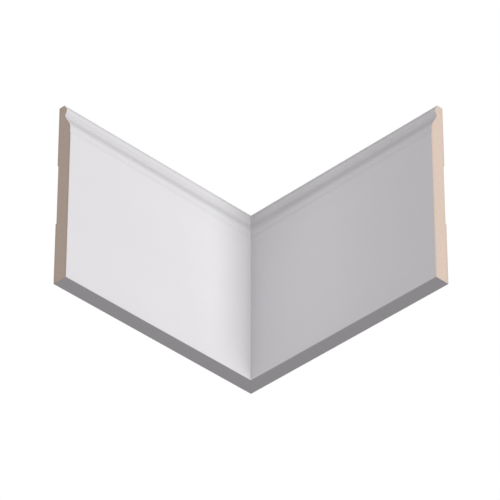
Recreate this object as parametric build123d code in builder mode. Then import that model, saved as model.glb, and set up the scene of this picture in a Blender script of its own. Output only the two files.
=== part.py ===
"""Internal corner of tall moulded skirting board: two MDF lengths mitred at 45 degrees, in millimetres.

The origin is the room corner at floor level. The left wall is the plane x = 0 and the right wall the
plane y = 0, so the left board runs along -Y, the right board along +X, and +Z is up.
"""

import os

from build123d import *

# Overall sizes of each board
board_height = 220.0  # floor to the flat top
board_thickness = 18.0  # wall to the flat face
arm_length = 277.0  # along the wall, from the room corner to the square-cut end
arris_radius = 0.6  # easing of the front edges of the top and the bottom

# Nose: the rounded lip along the top
top_width = 8.0  # flat top, from the wall to its front edge
top_edge = 1.1  # upright edge between the flat top and the nose
nose_drop = 7.9  # flat top down to the line where the nose's two flanks would meet
nose_reach = 12.3  # wall to that line
nose_radius = 5.0

# Ogee: from its foot a round swells inwards and runs into a hollow, which ends in the quirk under the nose
ogee_drop = 35.5  # flat top down to the foot
ogee_setback = 0.5  # foot behind the flat face
round_radius = 21.7
round_sweep = 34.0  # degrees
hollow_radius = 41.0
hollow_sweep = 15.4  # degrees

# Flute: the shallow groove that parts the ogee from the flat face
flute_setback = 1.0  # deepest line behind the flat face
flute_step = 1.0  # foot of the ogee down to the deepest line
flute_fall = 4.7  # deepest line down to the flat face

# Relief groove along the middle of the back
relief_height = 73.0
relief_depth = 1.2

# Points of the section: distance from the wall, height above the floor
top_back = (0, board_height)
top_front = (top_width, board_height)
nose_top = (top_width, board_height - top_edge)
nose_front = (nose_reach, board_height - nose_drop)
ogee_foot = (board_thickness - ogee_setback, board_height - ogee_drop)
flute = (board_thickness - flute_setback, ogee_foot[1] - flute_step)
face_top = (board_thickness, flute[1] - flute_fall)
bottom_front = (board_thickness, 0)
bottom_back = (0, 0)

# The vertical plane in which the two boards meet
mitre_plane = Plane(origin=(0, 0, 0), x_dir=(1, -1, 0), z_dir=(1, 1, 0))

# Left board: the section run along the left wall, then cut to the mitre
with BuildPart() as left_board:
    with BuildSketch(Plane.XZ) as section:
        with BuildLine():
            swell = JernArc(ogee_foot, (0, 1), round_radius, round_sweep)
            hollow = JernArc(swell @ 1, swell % 1, hollow_radius, -hollow_sweep)
            FilletPolyline(hollow @ 1, nose_front, nose_top, radius=nose_radius)
            Polyline(nose_top, top_front, top_back, bottom_back, bottom_front, face_top, flute, ogee_foot)
        make_face()
        corners = section.vertices()
        front_arrises = [corners.sort_by_distance(point)[0] for point in (top_front, bottom_front)]
        fillet(front_arrises, radius=arris_radius)
        with Locations((0, board_height / 2)):
            Rectangle(2 * relief_depth, relief_height, mode=Mode.SUBTRACT)
    extrude(amount=arm_length)
    split(bisect_by=mitre_plane, keep=Keep.BOTTOM)

# Right board: the left board's mirror image in the mitre
with BuildPart() as right_board:
    mirror(left_board.part, about=mitre_plane)

os.makedirs("parts", exist_ok=True)
for name, board in (("left_board", left_board), ("right_board", right_board)):
    board.part.label = name
    export_step(board.part, f"parts/{name}.step")
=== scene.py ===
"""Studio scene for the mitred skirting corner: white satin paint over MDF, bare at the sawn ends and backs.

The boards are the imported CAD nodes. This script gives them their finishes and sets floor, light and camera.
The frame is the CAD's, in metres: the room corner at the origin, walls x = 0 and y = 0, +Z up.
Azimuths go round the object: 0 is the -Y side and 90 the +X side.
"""

import math

import bpy
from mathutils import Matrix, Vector


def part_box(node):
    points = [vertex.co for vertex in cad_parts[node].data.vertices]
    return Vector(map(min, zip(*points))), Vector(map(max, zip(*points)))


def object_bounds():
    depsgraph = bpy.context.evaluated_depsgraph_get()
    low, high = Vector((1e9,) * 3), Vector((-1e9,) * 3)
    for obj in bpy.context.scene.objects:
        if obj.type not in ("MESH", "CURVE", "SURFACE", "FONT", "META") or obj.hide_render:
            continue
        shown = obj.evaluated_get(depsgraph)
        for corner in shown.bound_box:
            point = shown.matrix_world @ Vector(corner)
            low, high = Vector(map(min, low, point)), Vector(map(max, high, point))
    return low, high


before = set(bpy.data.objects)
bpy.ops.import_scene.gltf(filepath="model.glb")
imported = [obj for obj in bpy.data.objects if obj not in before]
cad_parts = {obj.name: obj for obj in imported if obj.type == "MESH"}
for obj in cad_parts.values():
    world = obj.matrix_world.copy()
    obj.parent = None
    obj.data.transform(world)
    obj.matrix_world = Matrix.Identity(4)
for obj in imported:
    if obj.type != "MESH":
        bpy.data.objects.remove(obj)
cad_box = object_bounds()

# Camera, at the photograph's viewing angle: it looks up into the corner from far off
camera_azimuth = 45.0
camera_elevation = -35.815
camera_distance = 4.2017
camera_aim = Vector((0.0708, -0.0722, 0.110))
camera_lens = 294.76  # mm, on a 36 mm wide sensor

# Light: angles in degrees, levels as the brightness of a white surface that faces the source
lamps = {
    "key": {"azimuth": 91.35, "elevation": -4.7, "spread": 23.0, "level": 0.703},
    "fill": {"azimuth": -5.2, "elevation": -4.7, "spread": 38.0, "level": 0.309},
    "rim": {"azimuth": 225.0, "elevation": 29.0, "spread": 16.0, "level": 1.0},
}
ambient_colour = (1.0, 0.94, 0.98, 1.0)
ambient_level = 0.194
white = (1.0, 1.0, 1.0, 1.0)
background_level = 1.0

# Floor
floor_size = 12.0
floor_drop = 0.0003  # below the boards' bottom edges
floor_colour = (0.65, 0.65, 0.65, 1.0)
floor_glow = 0.5

# Boards: the way each one runs from the corner, the way its face looks, and the painted shade on its sawn
# end, as a share of the MDF colour
boards = {
    "left_board": {"along": Vector((0, -1, 0)), "out": Vector((1, 0, 0)), "cut_painted_shade": 0.84},
    "right_board": {"along": Vector((1, 0, 0)), "out": Vector((0, -1, 0)), "cut_painted_shade": 1.0},
}
board_height = cad_box[1][2]
board_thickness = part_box("left_board")[1][0]
back_zone = 0.002  # faces that stay this close to the wall are back or relief groove
square_on = 0.99  # cosine above which a face counts as facing a direction

# Heights on the moulding, and between which heights one form turns into the next
moulding_foot = board_height - 0.0425
moulding_blend = 0.002  # over which the ribs come in above the foot
# The heights below place the painted shade on the flute, recess, hollow and crest
flute_line = board_height - 0.0366  # where the flute is deepest
flute_reach = 0.0022  # above and below that line
ogee_to_recess = (board_height - 0.032, board_height - 0.0245)
recess_to_hollow = (board_height - 0.02, board_height - 0.0155)
hollow_to_nose = (board_height - 0.0122, board_height - 0.0062)
nose_to_top = (board_height - 0.0075, board_height - 0.0045)

# Distances from the mitre, along a board
painted_shade_corner_fade = 0.06  # over which the painted shade on the moulding comes in, from none at the mitre
seam_width = 0.0002  # of the hairline in the paint

# Paint: tones are shares of its colour, and sizes of all grains run along, out and up
paint_colour = (0.818, 0.813, 0.828)
# Painted shade on the moulding, as shares of the paint's colour
flute_painted_shade = 0.944
recess_painted_shade = 0.864
hollow_painted_shade_share = 0.81  # of the recess's painted shade that the hollow keeps
crest_painted_shade = 0.95
seam_tone = 0.6
cloud_size = (0.09, 0.09, 0.06)
cloud_tones = (0.992, 1.008)
peel_size = (0.0022, 0.0022, 0.0022)
peel_height = 0.00001
rib_size = (0.012, 0.0007, 0.0007)
rib_height = 0.000003
paint_roughness = (0.52, 0.58)
rib_roughness = 0.06  # added on the moulding
paint_specular = 0.12

# Sawn MDF
sawn_colour = (0.785, 0.640, 0.535)
core_share = 0.6  # of the thickness, inside which the core keeps one tone
core_tone = 1.02
skin_tone = 0.93
layer_size = (0.004, 0.0005, 0.005)
layer_detail = 3.0
layer_tones = (0.95, 1.05)
speck_size = (0.0006, 0.0006, 0.0009)
speck_tones = (0.93, 1.07)
speck_height = 0.00006
saw_line_size = (0.004, 0.03, 0.0008)
saw_line_height = 0.00004
sawn_roughness = (0.82, 0.95)
sawn_specular = 0.2

# Sanded MDF
sanded_colour = (0.70, 0.56, 0.44)
fibre_size = (0.0035, 0.0012, 0.0012)
fibre_detail = 4.0
fibre_tones = (0.93, 1.07)
dust_size = (0.0008, 0.0008, 0.0008)
dust_tones = (0.95, 1.05)
dust_height = 0.00002
sanding_line_size = (0.06, 0.0006, 0.0006)
sanding_line_height = 0.00001
sanded_roughness = (0.72, 0.85)
sanded_specular = 0.25

# Noise
noise_range = (0.3, 0.7)  # that most of its values lie in
plain_detail = 2.0


class Nodes:
    """Adds nodes to a tree and connects them."""

    def __init__(self, tree):
        self.tree = tree

    def add(self, kind, inputs, **settings):
        """A new node of that kind, with these inputs and settings."""
        node = self.tree.nodes.new(kind)
        for name, value in settings.items():
            setattr(node, name, value)
        self.connect(node, inputs)
        return node

    def connect(self, node, inputs):
        """Links each input that is given a socket, and sets any other."""
        for name, value in inputs.items():
            socket = node.inputs[name]
            if isinstance(value, bpy.types.NodeSocket):
                self.tree.links.new(value, socket)
            else:
                socket.default_value = value


def calculate(nodes, operation, *values):
    """The result of one operation on the values."""
    return nodes.add("ShaderNodeMath", dict(enumerate(values)), operation=operation).outputs[0]


def towards(azimuth, elevation):
    """The unit vector from the object towards that side."""
    a = math.radians(azimuth)
    e = math.radians(elevation)
    return Vector((math.sin(a) * math.cos(e), -math.cos(a) * math.cos(e), math.sin(e)))


def add_camera():
    """The photograph's camera."""
    data = bpy.data.cameras.new("camera")
    data.lens = camera_lens
    camera = bpy.data.objects.new("camera", data)
    away = towards(camera_azimuth, camera_elevation)
    camera.location = camera_aim + camera_distance * away
    camera.rotation_euler = away.to_track_quat("Z", "Y").to_euler()
    bpy.context.scene.collection.objects.link(camera)
    bpy.context.scene.camera = camera


def add_lamp(name, azimuth, elevation, spread, level):
    """A soft distant lamp, spread degrees across."""
    data = bpy.data.lights.new(name, "SUN")
    data.angle = math.radians(spread)
    data.energy = math.pi * level
    lamp = bpy.data.objects.new(name, data)
    lamp.rotation_euler = towards(azimuth, elevation).to_track_quat("Z", "Y").to_euler()
    bpy.context.scene.collection.objects.link(lamp)


def add_world():
    """Even light all round, in front of a white background."""
    world = bpy.data.worlds.new("studio")
    bpy.context.scene.world = world
    world.use_nodes = True
    world.node_tree.nodes.clear()
    nodes = Nodes(world.node_tree)
    ray = nodes.add("ShaderNodeLightPath", {}).outputs
    seen = calculate(nodes, "MAXIMUM", ray["Is Camera Ray"], ray["Is Glossy Ray"])
    seen = calculate(nodes, "MAXIMUM", seen, ray["Is Transmission Ray"])
    ambient = nodes.add("ShaderNodeBackground", {"Color": ambient_colour, "Strength": ambient_level})
    plain = nodes.add("ShaderNodeBackground", {"Color": white, "Strength": background_level})
    mix = nodes.add("ShaderNodeMixShader", {0: seen, 1: ambient.outputs[0], 2: plain.outputs[0]})
    nodes.add("ShaderNodeOutputWorld", {"Surface": mix.outputs[0]})


def add_floor():
    """A pale floor that keeps the object's shadow.

    It shows from above only, because the photograph looks up from below it.
    """
    mesh = bpy.data.meshes.new("floor")
    half = floor_size / 2
    corners = [(x, y, -floor_drop) for x, y in ((-half, -half), (half, -half), (half, half), (-half, half))]
    mesh.from_pydata(corners, [], [(0, 1, 2, 3)])
    floor = bpy.data.objects.new("floor", mesh)
    bpy.context.scene.collection.objects.link(floor)
    floor.visible_diffuse = False
    floor.visible_glossy = False
    floor.visible_transmission = False
    floor.visible_shadow = False
    material = bpy.data.materials.new("floor")
    material.use_nodes = True
    material.node_tree.nodes.clear()
    nodes = Nodes(material.node_tree)
    side = nodes.add("ShaderNodeNewGeometry", {})
    matt = nodes.add("ShaderNodeBsdfDiffuse", {"Color": floor_colour})
    glow = nodes.add("ShaderNodeEmission", {"Color": white, "Strength": floor_glow})
    pale = nodes.add("ShaderNodeAddShader", {0: matt.outputs[0], 1: glow.outputs[0]})
    clear = nodes.add("ShaderNodeBsdfTransparent", {})
    one_sided = nodes.add("ShaderNodeMixShader",
                          {0: side.outputs["Backfacing"], 1: pale.outputs[0], 2: clear.outputs[0]})
    nodes.add("ShaderNodeOutputMaterial", {"Surface": one_sided.outputs[0]})
    mesh.materials.append(material)


def times(nodes, first, *others):
    """The product of several values."""
    product = first
    for other in others:
        product = calculate(nodes, "MULTIPLY", product, other)
    return product


def distance(nodes, value, middle):
    """How far a value lies from the middle, either way."""
    return calculate(nodes, "ABSOLUTE", calculate(nodes, "SUBTRACT", value, middle))


def ramp(nodes, value, low, high, from_low=noise_range[0], from_high=noise_range[1]):
    """Goes from low to high while the value goes from from_low to from_high, and stays level beyond."""
    inputs = {"Value": value, "From Min": from_low, "From Max": from_high, "To Min": low, "To Max": high}
    return nodes.add("ShaderNodeMapRange", inputs).outputs["Result"]


def shade(nodes, colour, factor):
    """The colour times a factor that varies over the surface."""
    return nodes.add("ShaderNodeVectorMath", {0: colour, 1: factor}, operation="MULTIPLY").outputs[0]


def stretched_noise(nodes, place, sizes, detail=plain_detail):
    """Noise whose features have these sizes along, out and up."""
    scale = tuple(1 / size for size in sizes)
    scaled = nodes.add("ShaderNodeMapping", {"Vector": place, "Scale": scale}).outputs[0]
    noise = nodes.add("ShaderNodeTexNoise", {"Vector": scaled, "Scale": 1.0, "Detail": detail})
    return noise.outputs["Fac"]


def bumps(nodes, first, first_height, second, second_height):
    """The surface's direction with a second relief laid over a first one."""
    under = nodes.add("ShaderNodeBump", {"Strength": 1.0, "Distance": first_height, "Height": first})
    over = nodes.add("ShaderNodeBump", {"Strength": 1.0, "Distance": second_height, "Height": second,
                                        "Normal": under.outputs[0]})
    return over.outputs[0]


def new_material(name):
    """A material, its node adder and its shader."""
    material = bpy.data.materials.new(name)
    material.use_nodes = True
    return material, Nodes(material.node_tree), material.node_tree.nodes["Principled BSDF"]


def board_space(nodes, board):
    """Coordinates on a board: along it from the corner, out from the wall, and up."""
    point = nodes.add("ShaderNodeTexCoord", {}).outputs["Object"]
    if board == "left_board":
        turned = nodes.add("ShaderNodeMapping", {"Vector": point, "Rotation": (0, 0, math.pi / 2)})
    else:
        turned = nodes.add("ShaderNodeMapping", {"Vector": point, "Scale": (1, -1, 1)})
    return turned.outputs[0]


def coordinate(nodes, place, axis):
    """One coordinate of a place on a board: X along, Y out and Z up."""
    return nodes.add("ShaderNodeSeparateXYZ", {"Vector": place}).outputs[axis]


def mitre_gap(nodes, place):
    """How far a place lies from the mitre, along its board."""
    return calculate(nodes, "SUBTRACT", coordinate(nodes, place, "X"), coordinate(nodes, place, "Y"))


def moulding_painted_shade(nodes, place):
    """Painted shade on the moulding: the paint darker in the flute, the recess and the crest, fading out
    towards the mitre.
    """
    up = coordinate(nodes, place, "Z")
    flute = ramp(nodes, distance(nodes, up, flute_line), flute_painted_shade, 1.0, 0.0, flute_reach)
    # Painted shade in the recess under the nose, which the hollow keeps in part
    recess_shade_mask = times(nodes,
                  ramp(nodes, up, 0.0, 1.0, *ogee_to_recess),
                  ramp(nodes, up, 1.0, hollow_painted_shade_share, *recess_to_hollow),
                  ramp(nodes, up, 1.0, 0.0, *hollow_to_nose))
    recess = ramp(nodes, recess_shade_mask, 1.0, recess_painted_shade, 0.0, 1.0)
    crest = ramp(nodes, up, 1.0, crest_painted_shade, *nose_to_top)
    away = times(nodes, flute, recess, crest)
    return ramp(nodes, mitre_gap(nodes, place), 1.0, away, 0.0, painted_shade_corner_fade)


def paint(board):
    """Sprayed satin paint: a faint orange peel, slight clouding, fine ribs on the moulding, and painted shade
    in its flute, recess and crest.
    """
    material, nodes, shader = new_material("paint_" + board)
    place = board_space(nodes, board)
    up = coordinate(nodes, place, "Z")
    routed = ramp(nodes, up, 0.0, 1.0, moulding_foot, moulding_foot + moulding_blend)
    cloud = stretched_noise(nodes, place, cloud_size)
    peel = stretched_noise(nodes, place, peel_size)
    ribs = times(nodes, stretched_noise(nodes, place, rib_size), routed)
    seam = ramp(nodes, mitre_gap(nodes, place), seam_tone, 1.0, 0.0, seam_width)
    # The tone holds random clouding, the painted shade on the moulding, and the dark mitre joint
    tone = times(nodes, ramp(nodes, cloud, *cloud_tones), moulding_painted_shade(nodes, place), seam)
    dullness = ramp(nodes, cloud, *paint_roughness)
    nodes.connect(shader, {
        "Base Color": shade(nodes, paint_colour, tone),
        "Roughness": calculate(nodes, "MULTIPLY_ADD", routed, rib_roughness, dullness),
        "Normal": bumps(nodes, peel, peel_height, ribs, rib_height),
        "Specular IOR Level": paint_specular,
    })
    return material


def sawn(board):
    """A saw cut through MDF: pressed layers, fibre specks, a paler core between dense skins, saw lines."""
    material, nodes, shader = new_material("sawn_mdf_" + board)
    place = board_space(nodes, board)
    out = coordinate(nodes, place, "Y")
    half = board_thickness / 2
    density = ramp(nodes, distance(nodes, out, half), core_tone, skin_tone, core_share * half, half)
    layers = stretched_noise(nodes, place, layer_size, layer_detail)
    specks = stretched_noise(nodes, place, speck_size)
    lines = stretched_noise(nodes, place, saw_line_size)
    tone = times(nodes, ramp(nodes, layers, *layer_tones), ramp(nodes, specks, *speck_tones), density)
    # Painted shade: the left board's sawn end gets a darker copy of the same MDF colour
    shaded_cut_colour = [boards[board]["cut_painted_shade"] * part for part in sawn_colour]
    nodes.connect(shader, {
        "Base Color": shade(nodes, shaded_cut_colour, tone),
        "Roughness": ramp(nodes, specks, *sawn_roughness),
        "Normal": bumps(nodes, specks, speck_height, lines, saw_line_height),
        "Specular IOR Level": sawn_specular,
    })
    return material


def sanded(board):
    """Bare sanded MDF on the back: short fibres, specks, and faint sanding lines along the board."""
    material, nodes, shader = new_material("sanded_mdf_" + board)
    place = board_space(nodes, board)
    fibres = stretched_noise(nodes, place, fibre_size, fibre_detail)
    dust = stretched_noise(nodes, place, dust_size)
    lines = stretched_noise(nodes, place, sanding_line_size)
    tone = times(nodes, ramp(nodes, fibres, *fibre_tones), ramp(nodes, dust, *dust_tones))
    nodes.connect(shader, {
        "Base Color": shade(nodes, sanded_colour, tone),
        "Roughness": ramp(nodes, fibres, *sanded_roughness),
        "Normal": bumps(nodes, dust, dust_height, lines, sanding_line_height),
        "Specular IOR Level": sanded_specular,
    })
    return material


def finish_board(name, ways):
    """Gives a board its finishes, face by face: bare on the cuts and the back, and painted elsewhere."""
    finishes = (paint, sawn, sanded)
    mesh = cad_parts[name].data
    mesh.materials.clear()
    for finish in finishes:
        mesh.materials.append(finish(name))
    mitre = (ways["out"] - ways["along"]).normalized()
    for face in mesh.polygons:
        reach = max(mesh.vertices[v].co.dot(ways["out"]) for v in face.vertices)
        if face.normal.dot(ways["along"]) > square_on or face.normal.dot(mitre) > square_on:
            finish = sawn
        elif reach < back_zone:
            finish = sanded
        else:
            finish = paint
        face.material_index = finishes.index(finish)


bpy.context.scene.view_settings.view_transform = "Standard"
add_camera()
add_world()
add_floor()
for name, settings in lamps.items():
    add_lamp(name, **settings)
for name, ways in boards.items():
    finish_board(name, ways)
